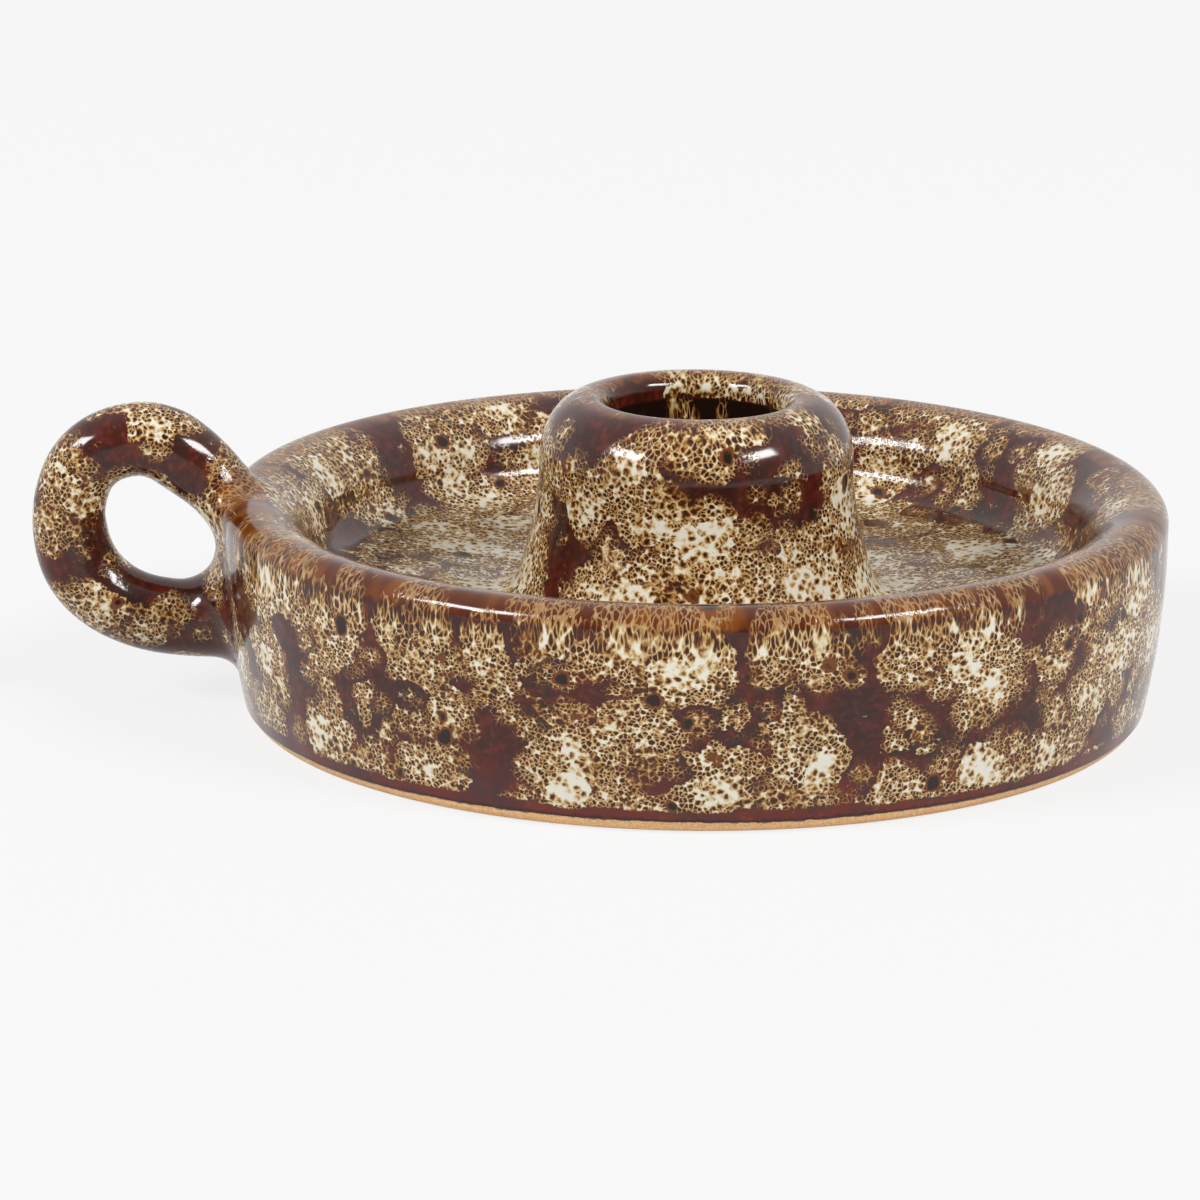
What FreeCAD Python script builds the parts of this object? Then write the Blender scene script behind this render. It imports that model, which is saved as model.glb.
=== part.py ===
import FreeCAD, Part
import Sketcher
import math
import os

# A glazed stoneware chamberstick: a round dish, a candle socket luted to the dish's floor and a
# finger loop luted to its wall and rim. They are three pieces of clay, made apart, joined with slip
# and fired as one, so the joints are seats worked out from the same outline and nothing moves.
# +Z is up, the origin is on the dish's axis where its foot ring stands, and the loop is on the -X
# side. Lengths are in millimetres and turns in degrees.

DISH = {
    "rim_radius": 60.0,  # outermost radius, where the wall stands plumb just under the rim
    "wall_flare": 3.0,  # how far the rim stands out past the foot
    "dish_height": 28.5,  # from the table to the top of the rim
    "rim_rounding": 2.9,  # radius of the rim's outer side
    "inner_shoulder_radius": 8.0,  # rim's inner side, which rolls over into the wall
    "cove_width": 4.4,  # hollow between the wall's inside and the floor
    "floor_height": 15.4,  # from the table to the floor under the socket
    "floor_rise": 2.0,  # how far the floor climbs from there to the cove
    "floor_margin": 1.0,  # level part of the floor outside the socket's foot
    "floor_thickness": 6.0,
    "base_corner_radius": 2.4,  # rounding between the foot ring and the wall
    "foot_width": 7.0,  # ring that the dish stands on, with its rounded corner
    "recess_radius": 3.0,  # rounding at the top of the turned hollow inside the foot ring
    "recess_lean": 1.0,  # how far the foot ring's inner side leans in
}

SOCKET = {
    "bore_radius": 11.4,  # takes a household candle of 22 mm
    "lip_radius": 2.2,  # rounding from the bore out to the crest of the mouth
    "shoulder_drop": 7.6,  # from the crest down to where the shoulder stands plumb
    "socket_radius": 20.0,  # outside, where the shoulder stands plumb
    "socket_rise": 25.4,  # from the dish's floor to the crest
    "bell_radius": 46.0,  # hollow outside, from the shoulder down towards the foot
    "foot_flare_radius": 2.5,  # tighter hollow where the foot runs out on the floor
    "foot_land": 0.6,  # upright edge of the foot, so that it doesn't feather out
}

LOOP = {
    "loop_reach": 19.7,  # how far the centre line stands out past the rim
    "loop_waist_height": 25.9,  # where it stands out furthest
    "loop_lower_radius": 13.4,  # centre line between the lower root and the waist
    "loop_upper_radius": 9.5,  # centre line from the waist over the crown
    "loop_landing_radius": 24.0,  # centre line from the crown down on to the rim
    "loop_tail_length": 4.3,  # straight end, which the joint takes away
    "loop_neck_thickness": 10.5,  # where the lower root meets the curve
    "loop_body_thickness": 9.8,  # round the waist and the crown
    "loop_tip_thickness": 7.0,  # where the upper end is pressed on to the rim
    "root_flare": 4.6,  # how far the lower root spreads at its buried end, all round
}

TURNS = {
    "crown_turn": 130.0,  # from the waist to where the landing begins
    "landing_turn": 20.0,  # from there to the straight end
}

SHARES = {
    "crest_share": 0.89,  # radius of the shoulder's tighter part by the crest, of its width
}

SIZES = {**DISH, **SOCKET, **LOOP, **TURNS, **SHARES}

# Where the loop's round sections lie, as shares of the stretch of centre line that they are on.
ROOT_SHARES = (0.0, 0.2, 0.4, 0.65, 1.0)
LOWER_SHARES = (0.25, 0.5, 0.75, 1.0)
UPPER_SHARES = (0.2, 0.4, 0.6, 0.8, 1.0)
LANDING_SHARES = (0.5, 1.0)

# The same reach of the socket's foot as socket_foot_radius gives, as a formula in the sheet's names.
FOOT_DROP = "Sizes.socket_rise - Sizes.shoulder_drop - Sizes.foot_land - Sizes.foot_flare_radius"
FOOT_SPAN = f"(Sizes.bell_radius - Sizes.foot_flare_radius) ^ 2 - ({FOOT_DROP}) ^ 2"
SOCKET_FOOT = f"Sizes.socket_radius + Sizes.bell_radius - sqrt({FOOT_SPAN})"

ORIGIN = (-1, 1)
AXES = (-1, -2)
START = 1
END = 2
CENTRE = 3


def make_sheet(doc):
    """Writes every driving size to a cell of its own, under its name."""
    sheet = doc.addObject("Spreadsheet::Sheet", "Sizes")
    for row, (name, value) in enumerate(SIZES.items(), start=1):
        sheet.set(f"A{row}", name)
        sheet.set(f"B{row}", str(value))
        sheet.setAlias(f"B{row}", name)
    doc.recompute()


def make_body(doc, name):
    """A sub-part with its own label, which names its file."""
    body = doc.addObject("PartDesign::Body", name)
    body.Label = name
    body.Placement = FreeCAD.Placement()
    return body


def make_sketch(body, name, plane):
    """A sketch on one of the body's own origin planes."""
    sketch = body.newObject("Sketcher::SketchObject", name)
    support = next(item for item in body.Origin.OriginFeatures if item.Role == plane)
    sketch.AttachmentSupport = [(support, "")]
    sketch.MapMode = "FlatFace"
    return sketch


def line(sketch, start, end):
    """Draws a line. Returns its number, the end it starts from and the end it runs to."""
    edge = Part.LineSegment(FreeCAD.Vector(*start, 0), FreeCAD.Vector(*end, 0))
    return sketch.addGeometry(edge, False), START, END


def arc(sketch, centre, start, end, leftward):
    """Draws an arc that turns left or right from start to end. Returns the same as a line does."""
    first, last = (start, end) if leftward else (end, start)
    from_angle = math.atan2(first[1] - centre[1], first[0] - centre[0])
    to_angle = math.atan2(last[1] - centre[1], last[0] - centre[0])
    if to_angle <= from_angle:
        to_angle += math.tau
    middle = FreeCAD.Vector(*centre, 0)
    circle = Part.Circle(middle, FreeCAD.Vector(0, 0, 1), math.dist(centre, start))
    number = sketch.addGeometry(Part.ArcOfCircle(circle, from_angle, to_angle), False)
    return (number, START, END) if leftward else (number, END, START)


def join(sketch, before, after, smooth=False):
    """Joins the end of one edge to the start of the next, and in line with it where smooth."""
    kind = "Tangent" if smooth else "Coincident"
    sketch.addConstraint(Sketcher.Constraint(kind, before[0], before[2], after[0], after[1]))


def level(sketch, *edges):
    for edge in edges:
        sketch.addConstraint(Sketcher.Constraint("Horizontal", edge[0]))


def plumb(sketch, *edges):
    for edge in edges:
        sketch.addConstraint(Sketcher.Constraint("Vertical", edge[0]))


def align(sketch, direction, first, second):
    """Puts two points, each an edge's number and place, on one level or plumb line."""
    sketch.addConstraint(Sketcher.Constraint(direction, *first, *second))


def size(sketch, kind, places, formula):
    """Adds a dimension at its drawn value and binds it to the sheet."""
    if kind == "Radius":
        drawn = sketch.Geometry[places[0]].Radius
    else:
        step = sketch.getPoint(*places[2:]) - sketch.getPoint(*places[:2])
        drawn = step.x if kind == "DistanceX" else step.y
    number = sketch.addConstraint(Sketcher.Constraint(kind, *places, drawn))
    sketch.setExpression(f"Constraints[{number}]", formula)


def draw_dish_outside(sketch, shoulder_end):
    """Draws the foot ring's flat, the rounded corner, the swelling wall and the rim.

    Returns these five edges in order. The wall is one arc, centred level with the rim's centre, so
    that it stands plumb where the rim begins, and it leans in by the flare down at the table. The
    rim is a quarter round outside and a wider round inside, whose end is left free.
    """
    rim = SIZES["rim_rounding"]
    rim_height = SIZES["dish_height"] - rim
    shoulder = SIZES["inner_shoulder_radius"]
    foot_radius = SIZES["rim_radius"] - SIZES["wall_flare"]
    corner = SIZES["base_corner_radius"]
    wall_radius = (rim_height**2 + SIZES["wall_flare"] ** 2) / (2 * SIZES["wall_flare"])
    wall_centre = (SIZES["rim_radius"] - wall_radius, rim_height)
    wall_foot = (foot_radius, corner)
    wall_top = (SIZES["rim_radius"], rim_height)
    crest = (SIZES["rim_radius"] - rim, SIZES["dish_height"])
    flat_start = (SIZES["rim_radius"] - SIZES["wall_flare"] - SIZES["foot_width"], 0)
    flat_end = (foot_radius - corner, 0)

    flat = line(sketch, flat_start, flat_end)
    rounding = arc(sketch, (foot_radius - corner, corner), flat_end, wall_foot, True)
    wall = arc(sketch, wall_centre, wall_foot, wall_top, True)
    round_rim = arc(sketch, (crest[0], rim_height), wall_top, crest, True)
    inner_rim = arc(sketch, (crest[0], crest[1] - shoulder), crest, shoulder_end, True)

    join(sketch, flat, rounding, smooth=True)
    join(sketch, rounding, wall, smooth=True)
    join(sketch, wall, round_rim, smooth=True)
    join(sketch, round_rim, inner_rim, smooth=True)
    level(sketch, flat)
    rim_centre = (round_rim[0], CENTRE)
    wall_end = (wall[0], END)
    rim_end = (round_rim[0], END)
    align(sketch, "Horizontal", (wall[0], CENTRE), wall_end)
    align(sketch, "Vertical", rim_centre, rim_end)
    size(sketch, "DistanceY", (*ORIGIN, flat[0], START), "0")
    size(sketch, "DistanceX", (*ORIGIN, *wall_end), "Sizes.rim_radius")
    size(sketch, "Radius", (round_rim[0],), "Sizes.rim_rounding")
    size(sketch, "Radius", (inner_rim[0],), "Sizes.inner_shoulder_radius")
    size(sketch, "DistanceY", (*ORIGIN, *rim_end), "Sizes.dish_height")
    size(sketch, "Radius", (rounding[0],), "Sizes.base_corner_radius")
    lean = "(Sizes.dish_height - Sizes.rim_rounding) ^ 2 + Sizes.wall_flare ^ 2"
    size(sketch, "Radius", (wall[0],), f"({lean}) / (2 * Sizes.wall_flare)")
    return flat, rounding, wall, round_rim, inner_rim


def make_dish(doc):
    """The thrown dish: raised floor, coved wall and turned foot, as one revolved half-section."""
    body = make_body(doc, "dish")
    sketch = make_sketch(body, "dish_section", "XZ_Plane")

    # The cove touches the climbing floor at its edge and runs on into the rim's inner round.
    shoulder = SIZES["inner_shoulder_radius"]
    shoulder_centre = (SIZES["rim_radius"] - SIZES["rim_rounding"], SIZES["dish_height"] - shoulder)
    floor = SIZES["floor_height"]
    floor_edge = (shoulder_centre[0] - shoulder - SIZES["cove_width"], floor + SIZES["floor_rise"])
    level_radius = socket_foot_radius() + SIZES["floor_margin"]
    climb = math.atan2(SIZES["floor_rise"], floor_edge[0] - level_radius)
    upward = (-math.sin(climb), math.cos(climb))
    gap = (shoulder_centre[0] - floor_edge[0], shoulder_centre[1] - floor_edge[1])
    along = gap[0] * upward[0] + gap[1] * upward[1]
    cove = (gap[0] ** 2 + gap[1] ** 2 - shoulder**2) / (2 * (shoulder + along))
    cove_centre = (floor_edge[0] + cove * upward[0], floor_edge[1] + cove * upward[1])
    lean = math.atan2(shoulder_centre[1] - cove_centre[1], shoulder_centre[0] - cove_centre[0])
    wall_middle = point_on(cove_centre, cove, lean)

    # The hollow under the floor is turned with a leaning side and a rounded corner.
    ceiling = floor - SIZES["floor_thickness"]
    corner = SIZES["recess_radius"]
    flat_start = SIZES["rim_radius"] - SIZES["wall_flare"] - SIZES["foot_width"]
    side = ceiling - corner
    tilt = math.atan2(SIZES["recess_lean"], side)
    side_top = (flat_start - SIZES["recess_lean"], side + corner * math.sin(tilt))
    corner_centre = (side_top[0] - corner * math.cos(tilt), side)
    ceiling_edge = (corner_centre[0], ceiling)

    flat, rounding, wall, round_rim, inner_rim = draw_dish_outside(sketch, wall_middle)
    sweep = arc(sketch, cove_centre, wall_middle, floor_edge, False)
    floor_slope = line(sketch, floor_edge, (level_radius, floor))
    floor_level = line(sketch, (level_radius, floor), (0, floor))
    axis_edge = line(sketch, (0, floor), (0, ceiling))
    underside = line(sketch, (0, ceiling), ceiling_edge)
    recess_corner = arc(sketch, corner_centre, ceiling_edge, side_top, False)
    recess_side = line(sketch, side_top, (flat_start, 0))

    join(sketch, inner_rim, sweep, smooth=True)
    join(sketch, sweep, floor_slope, smooth=True)
    join(sketch, floor_slope, floor_level)
    join(sketch, floor_level, axis_edge)
    join(sketch, axis_edge, underside)
    join(sketch, underside, recess_corner, smooth=True)
    join(sketch, recess_corner, recess_side, smooth=True)
    join(sketch, recess_side, flat)
    plumb(sketch, axis_edge)
    level(sketch, floor_level, underside)
    size(sketch, "DistanceX", (*ORIGIN, axis_edge[0], START), "0")
    size(sketch, "DistanceY", (*ORIGIN, axis_edge[0], START), "Sizes.floor_height")
    size(sketch, "DistanceY", (axis_edge[0], END, axis_edge[0], START), "Sizes.floor_thickness")
    shoulder_side = "Sizes.rim_radius - Sizes.rim_rounding - Sizes.inner_shoulder_radius"
    size(sketch, "DistanceX", (*ORIGIN, floor_slope[0], START), f"{shoulder_side} - Sizes.cove_width")
    size(sketch, "DistanceY", (floor_slope[0], END, floor_slope[0], START), "Sizes.floor_rise")
    size(sketch, "DistanceX", (*ORIGIN, floor_level[0], START), f"{SOCKET_FOOT} + Sizes.floor_margin")
    size(sketch, "Radius", (recess_corner[0],), "Sizes.recess_radius")
    foot_inside = "Sizes.rim_radius - Sizes.wall_flare - Sizes.foot_width"
    size(sketch, "DistanceX", (*ORIGIN, flat[0], START), foot_inside)
    size(sketch, "DistanceX", (recess_side[0], START, recess_side[0], END), "Sizes.recess_lean")

    revolve(body, sketch, "PartDesign::Revolution", "dish_turned")
    return body


def socket_foot_radius():
    """How far the socket's foot stands out, where its tighter hollow has run out level."""
    bell = SIZES["bell_radius"]
    flare = SIZES["foot_flare_radius"]
    drop = SIZES["socket_rise"] - SIZES["shoulder_drop"] - SIZES["foot_land"] - flare
    return SIZES["socket_radius"] + bell - math.sqrt((bell - flare) ** 2 - drop**2)


def make_candle_socket(doc):
    """The bell-shaped socket: a ring that stands on the dish's floor, open at both ends."""
    body = make_body(doc, "candle_socket")
    sketch = make_sketch(body, "candle_socket_section", "XZ_Plane")

    floor = SIZES["floor_height"]
    top = floor + SIZES["socket_rise"]
    bore = SIZES["bore_radius"]
    lip = SIZES["lip_radius"]
    outside = SIZES["socket_radius"]
    shoulder_width = outside - bore - lip
    crest_radius = shoulder_width * SIZES["crest_share"]
    shoulder_height = top - SIZES["shoulder_drop"]
    bell = SIZES["bell_radius"]
    flare = SIZES["foot_flare_radius"]
    land = SIZES["foot_land"]

    # The shoulder's second arc runs on from the first without a corner and ends plumb.
    crest_centre = (bore + lip, top - crest_radius)
    down = crest_centre[1] - shoulder_height
    spare = shoulder_width - crest_radius
    shoulder_radius = (shoulder_width**2 + down**2 - crest_radius**2) / (2 * spare)
    shoulder_centre = (outside - shoulder_radius, shoulder_height)
    lean = math.atan2(down, crest_centre[0] - shoulder_centre[0])
    crest_end = point_on(crest_centre, crest_radius, lean)

    # The foot's tighter arc touches the bell and runs out level at the land's top.
    bell_centre = (outside + bell, shoulder_height)
    flare_height = floor + land + flare
    foot_radius = socket_foot_radius()
    flare_centre = (foot_radius, flare_height)
    slope = math.atan2(flare_centre[1] - bell_centre[1], flare_centre[0] - bell_centre[0])
    bell_end = point_on(bell_centre, bell, slope)

    bore_wall = line(sketch, (bore, floor), (bore, top - lip))
    mouth = arc(sketch, (bore + lip, top - lip), (bore, top - lip), (bore + lip, top), False)
    crest = arc(sketch, crest_centre, (bore + lip, top), crest_end, False)
    shoulder = arc(sketch, shoulder_centre, crest_end, (outside, shoulder_height), False)
    bell_wall = arc(sketch, bell_centre, (outside, shoulder_height), bell_end, True)
    foot_flare = arc(sketch, flare_centre, bell_end, (foot_radius, floor + land), True)
    foot_edge = line(sketch, (foot_radius, floor + land), (foot_radius, floor))
    seat = line(sketch, (foot_radius, floor), (bore, floor))

    join(sketch, bore_wall, mouth, smooth=True)
    join(sketch, mouth, crest, smooth=True)
    join(sketch, crest, shoulder, smooth=True)
    join(sketch, shoulder, bell_wall, smooth=True)
    join(sketch, bell_wall, foot_flare, smooth=True)
    join(sketch, foot_flare, foot_edge)
    join(sketch, foot_edge, seat)
    join(sketch, seat, bore_wall)
    plumb(sketch, bore_wall, foot_edge)
    level(sketch, seat)
    align(sketch, "Vertical", (crest[0], CENTRE), (crest[0], END))
    align(sketch, "Horizontal", (shoulder[0], CENTRE), (shoulder[0], START))
    align(sketch, "Vertical", (foot_flare[0], CENTRE), (foot_flare[0], END))
    size(sketch, "DistanceX", (*ORIGIN, bore_wall[0], START), "Sizes.bore_radius")
    size(sketch, "DistanceY", (*ORIGIN, bore_wall[0], START), "Sizes.floor_height")
    size(sketch, "Radius", (mouth[0],), "Sizes.lip_radius")
    size(sketch, "DistanceY", (bore_wall[0], START, crest[0], END), "Sizes.socket_rise")
    width = "(Sizes.socket_radius - Sizes.bore_radius - Sizes.lip_radius)"
    size(sketch, "Radius", (crest[0],), f"{width} * Sizes.crest_share")
    size(sketch, "DistanceY", (bell_wall[0], START, crest[0], END), "Sizes.shoulder_drop")
    size(sketch, "DistanceX", (*ORIGIN, bell_wall[0], START), "Sizes.socket_radius")
    size(sketch, "Radius", (bell_wall[0],), "Sizes.bell_radius")
    size(sketch, "Radius", (foot_flare[0],), "Sizes.foot_flare_radius")
    size(sketch, "DistanceY", (foot_edge[0], END, foot_edge[0], START), "Sizes.foot_land")

    revolve(body, sketch, "PartDesign::Revolution", "candle_socket_turned")
    return body


def point_on(centre, radius, angle):
    return centre[0] + radius * math.cos(angle), centre[1] + radius * math.sin(angle)


def revolve(body, sketch, kind, name):
    """Turns a section all the way round the upright axis of its sketch."""
    feature = body.newObject(kind, name)
    feature.Profile = sketch
    feature.ReferenceAxis = (sketch, ["V_Axis"])
    feature.Angle = 360.0
    return feature


def make_finger_loop(doc):
    """The finger loop: a tapered coil of clay, bent to a C and seated on the wall and the rim.

    Its centre line lies in the upright plane through the dish's axis: level out of the wall, round
    the waist and the crown, and down on to the rim. Round sections square to that line are lofted
    together, and the dish's own outside then takes away what would lie in the dish, which leaves
    the two ends as saddles that fit the wall and the rim.
    """
    body = make_body(doc, "finger_loop")
    sections = [make_section(body, index, *place) for index, place in enumerate(loop_places())]
    coil = body.newObject("PartDesign::AdditiveLoft", "loop_coil")
    coil.Profile = sections[0]
    coil.Sections = sections[1:]
    coil.Ruled = False
    coil.Closed = False
    doc.recompute()
    whole = coil.Shape.Volume

    seat = make_sketch(body, "loop_seats", "XZ_Plane")
    draw_seat_outline(seat)
    groove = revolve(body, seat, "PartDesign::Groove", "loop_seated")
    doc.recompute()
    if groove.Shape.Volume >= whole:
        raise RuntimeError("the loop's seats were not cut")
    return body


def loop_places():
    """The height, reach, heading and radius of each section, from the lower root to the tail.

    Each is a formula in the sheet's names. The heading is the centre line's turn away from upright,
    and it grows from a quarter turn back at the root to more than a quarter turn on at the rim.
    """
    waist = "-(Sizes.rim_radius + Sizes.loop_reach)"
    height = "Sizes.loop_waist_height"
    lower = "Sizes.loop_lower_radius"
    upper = "Sizes.loop_upper_radius"
    landing = "Sizes.loop_landing_radius"
    buried = "-(Sizes.rim_radius - Sizes.wall_flare)"
    neck = f"({waist} + {lower})"
    neck_radius = "Sizes.loop_neck_thickness / 2"
    body_radius = "Sizes.loop_body_thickness / 2"
    tip_radius = "Sizes.loop_tip_thickness / 2"
    crown = "Sizes.crown_turn"
    places = []
    for share in ROOT_SHARES:
        reach = f"{buried} + ({neck} - {buried}) * {share}"
        spread = f"{neck_radius} + Sizes.root_flare * (1 - {share}) ^ 3"
        places.append((reach, f"{height} - {lower}", "-90", spread))
    for share in LOWER_SHARES:
        turn = f"(90 * {share})"
        reach = f"{waist} + {lower} - {lower} * sin({turn})"
        radius = f"{neck_radius} + ({body_radius} - {neck_radius}) * {share}"
        places.append((reach, f"{height} - {lower} * cos({turn})", f"{turn} - 90", radius))
    for share in UPPER_SHARES:
        turn = f"({crown} * {share})"
        reach = f"{waist} + {upper} - {upper} * cos({turn})"
        places.append((reach, f"{height} + {upper} * sin({turn})", turn, body_radius))
    middle_reach = f"{waist} + {upper} + ({landing} - {upper}) * cos({crown})"
    middle_height = f"{height} - ({landing} - {upper}) * sin({crown})"
    for share in LANDING_SHARES:
        turn = f"({crown} + Sizes.landing_turn * {share})"
        radius = f"{body_radius} + ({tip_radius} - {body_radius}) * {share}"
        reach = f"{middle_reach} - {landing} * cos({turn})"
        places.append((reach, f"{middle_height} + {landing} * sin({turn})", turn, radius))
    turn = f"({crown} + Sizes.landing_turn)"
    reach = f"{middle_reach} - {landing} * cos({turn}) + Sizes.loop_tail_length * sin({turn})"
    rise = f"{middle_height} + {landing} * sin({turn}) + Sizes.loop_tail_length * cos({turn})"
    places.append((reach, rise, turn, tip_radius))
    return places


def make_section(body, index, reach, height, heading, radius):
    """A circle of four quarters square to the centre line, on the level plane moved and turned."""
    sketch = make_sketch(body, f"loop_section_{index:02d}", "XY_Plane")
    upright = FreeCAD.Rotation(FreeCAD.Vector(0, 1, 0), 0)
    sketch.AttachmentOffset = FreeCAD.Placement(FreeCAD.Vector(), upright)
    sketch.setExpression("AttachmentOffset.Base.x", reach)
    sketch.setExpression("AttachmentOffset.Base.z", height)
    sketch.setExpression("AttachmentOffset.Rotation.Angle", heading)

    drawn = SIZES["loop_body_thickness"] / 2
    corners = [(drawn, 0), (0, drawn), (-drawn, 0), (0, -drawn), (drawn, 0)]
    quarters = [arc(sketch, (0, 0), start, end, True) for start, end in zip(corners, corners[1:])]
    for number, (edge, axis) in enumerate(zip(quarters, AXES + AXES)):
        sketch.addConstraint(Sketcher.Constraint("Coincident", edge[0], CENTRE, *ORIGIN))
        sketch.addConstraint(Sketcher.Constraint("PointOnObject", edge[0], START, axis))
        if number:
            join(sketch, quarters[number - 1], edge)
    sketch.addConstraint(Sketcher.Constraint("PointOnObject", quarters[-1][0], END, AXES[0]))
    size(sketch, "Radius", (quarters[0][0],), radius)
    return sketch


def draw_seat_outline(sketch):
    """The dish's outside and the rim's inner round, filled in to the axis.

    It takes away whatever of the coil would lie in the dish, so the upper end laps over the rim.
    """
    crest_radius = SIZES["rim_radius"] - SIZES["rim_rounding"]
    shoulder = SIZES["inner_shoulder_radius"]
    lid_height = SIZES["dish_height"] - shoulder
    lid_start = (crest_radius - shoulder, lid_height)
    flat, rounding, wall, round_rim, inner_rim = draw_dish_outside(sketch, lid_start)
    lid = line(sketch, lid_start, (0, lid_height))
    axis_edge = line(sketch, (0, lid_height), (0, 0))
    join(sketch, inner_rim, lid)
    join(sketch, lid, axis_edge)
    join(sketch, axis_edge, flat)
    level(sketch, lid)
    plumb(sketch, axis_edge)
    align(sketch, "Horizontal", (inner_rim[0], CENTRE), (inner_rim[0], END))
    size(sketch, "DistanceX", (*ORIGIN, axis_edge[0], START), "0")


def check(doc, bodies):
    """Stops on a failed feature, a loose sketch or a sub-part that isn't one sound solid."""
    for item in doc.Objects:
        if "Invalid" in item.State or "Error" in item.State:
            raise RuntimeError(f"{item.Label} failed: {item.State}")
        if item.isDerivedFrom("Sketcher::SketchObject") and not item.FullyConstrained:
            raise RuntimeError(f"{item.Label} is not fully constrained")
    for body in bodies:
        if body.Shape.isNull() or not body.Shape.isValid() or len(body.Shape.Solids) != 1:
            raise RuntimeError(f"{body.Label} is not one sound solid")


def main():
    doc = FreeCAD.newDocument("chamberstick")
    make_sheet(doc)
    bodies = [make_dish(doc), make_candle_socket(doc), make_finger_loop(doc)]
    doc.recompute()
    check(doc, bodies)
    os.makedirs("parts", exist_ok=True)
    for body in bodies:
        body.Shape.exportStep(f"parts/{body.Label}.step")
        box = body.Shape.BoundBox
        print(f"{body.Label}: {body.Shape.Volume:.0f} mm3, x {box.XMin:.2f} to {box.XMax:.2f}, "
              f"y {box.YMin:.2f} to {box.YMax:.2f}, z {box.ZMin:.2f} to {box.ZMax:.2f}")


main()
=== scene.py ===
# Dresses the chamberstick: camera, light, table, dish, candle socket, finger loop and their glaze.
# Shapes are worked out in millimetres and written to the meshes in metres.
import math
from functools import partial
import bpy
import numpy as np
from mathutils import Matrix, Vector


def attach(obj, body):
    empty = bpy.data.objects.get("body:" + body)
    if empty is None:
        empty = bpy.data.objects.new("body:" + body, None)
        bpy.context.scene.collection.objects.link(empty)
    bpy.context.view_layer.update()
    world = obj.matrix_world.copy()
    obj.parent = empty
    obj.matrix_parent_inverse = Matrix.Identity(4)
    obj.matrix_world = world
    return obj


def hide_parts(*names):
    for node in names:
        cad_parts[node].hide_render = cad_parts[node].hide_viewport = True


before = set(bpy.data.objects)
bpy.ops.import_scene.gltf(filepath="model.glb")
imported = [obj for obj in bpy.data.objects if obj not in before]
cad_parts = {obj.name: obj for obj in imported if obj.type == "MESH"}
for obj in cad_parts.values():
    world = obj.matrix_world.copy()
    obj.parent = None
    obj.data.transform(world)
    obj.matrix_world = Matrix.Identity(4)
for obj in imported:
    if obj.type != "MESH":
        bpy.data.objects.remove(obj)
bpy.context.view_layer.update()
metre = 0.001  # one millimetre in metres
print("frame loaded:", ", ".join(sorted(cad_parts)))


# small helpers
def linearColour(hexText, alpha=1.0):
    # sRGB hex to linear: c / 12.92 near black, else ((c + 0.055) / 1.055) to the power 2.4
    parts = [int(hexText[i:i + 2], 16) / 255 for i in (1, 3, 5)]
    linear = [c / 12.92 if c <= 0.04045 else ((c + 0.055) / 1.055) ** 2.4 for c in parts]
    return (*linear, alpha)


def addNode(tree, kind, inputs=(), **settings):
    # one node: its settings, then each input as a link (from a node or an output) or as a value
    node = tree.nodes.new("ShaderNode" + kind)
    for name, value in settings.items():
        setattr(node, name, value)
    for name, value in dict(inputs).items():
        if isinstance(value, bpy.types.Node):
            value = next(s for s in value.outputs if s.enabled)
        if isinstance(value, bpy.types.NodeSocket):
            tree.links.new(value, node.inputs[name])
        else:
            node.inputs[name].default_value = value
    return node


def newMaterial(name):
    material = bpy.data.materials.new(name)
    material.use_nodes = True
    material.node_tree.nodes.clear()
    return material, material.node_tree


def smoothRamp(values, low, high):
    # 0 below low, 1 above high, and t * t * (3 - 2 t) between them
    t = np.clip((values - low) / (high - low), 0.0, 1.0)
    return t * t * (3 - 2 * t)


# camera, as fitted to the outlines of the rim, the socket and the loop
view = {
    "place": (0.0, -869.5, 247.2),    # mm
    "aim": (-12.1, -0.3, 13.9),       # mm
    "roll": -0.37,                    # degrees
    "lens": 211.95,                   # mm
    "sensor": 36.0,                   # mm across
    "reach": (0.01, 50.0),            # metres, the nearest and farthest that is drawn
}


def makeCamera():
    data = bpy.data.cameras.new("photoCamera")
    data.lens = view["lens"]
    data.sensor_width = view["sensor"]
    data.clip_start, data.clip_end = view["reach"]
    camera = bpy.data.objects.new("photoCamera", data)
    place = Vector(view["place"]) * metre
    aim = Vector(view["aim"]) * metre
    turn = (aim - place).to_track_quat("-Z", "Y").to_matrix().to_4x4()
    roll = Matrix.Rotation(math.radians(-view["roll"]), 4, "Z")
    camera.matrix_world = Matrix.Translation(place) @ turn @ roll
    bpy.context.collection.objects.link(camera)
    bpy.context.scene.camera = camera
    bpy.context.scene.view_settings.view_transform = "Standard"


makeCamera()
print("camera placed")

# light: two softboxes in front, left and right, in a pale room, over a sheet of paper
studio = {
    "distance": 4.0,                  # metres from the object
    "leftSide": (-63.0, 36.0),        # degrees round from the camera, degrees up
    "rightSide": (55.0, 37.0),
    "boxWidth": 24.0,                 # degrees across, seen from the object
    "boxHeight": 10.0,
    "radiance": 30.0,                 # brightness of a softbox's face, where 1 is white
    "roomStrength": 0.30,             # what the room adds all round
    "dimSide": (-0.75, 0.15),         # y of the directions from which the room's reflection goes from dim to bright
    "backdrop": "#f7f7f7",
    "paper": "#e4e4e4",
    "paperEven": "#fafafa",           # what the paper glows with, so that it stays plain
    "paperShare": 0.85,               # how much of the glow is seen, the rest keeps the shadow
    "paperHalf": 12.0,                # metres from the object to the paper's edge
    "paperTop": -0.00002,             # metres, a hair below the foot, so that the two don't share a plane
}


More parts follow.
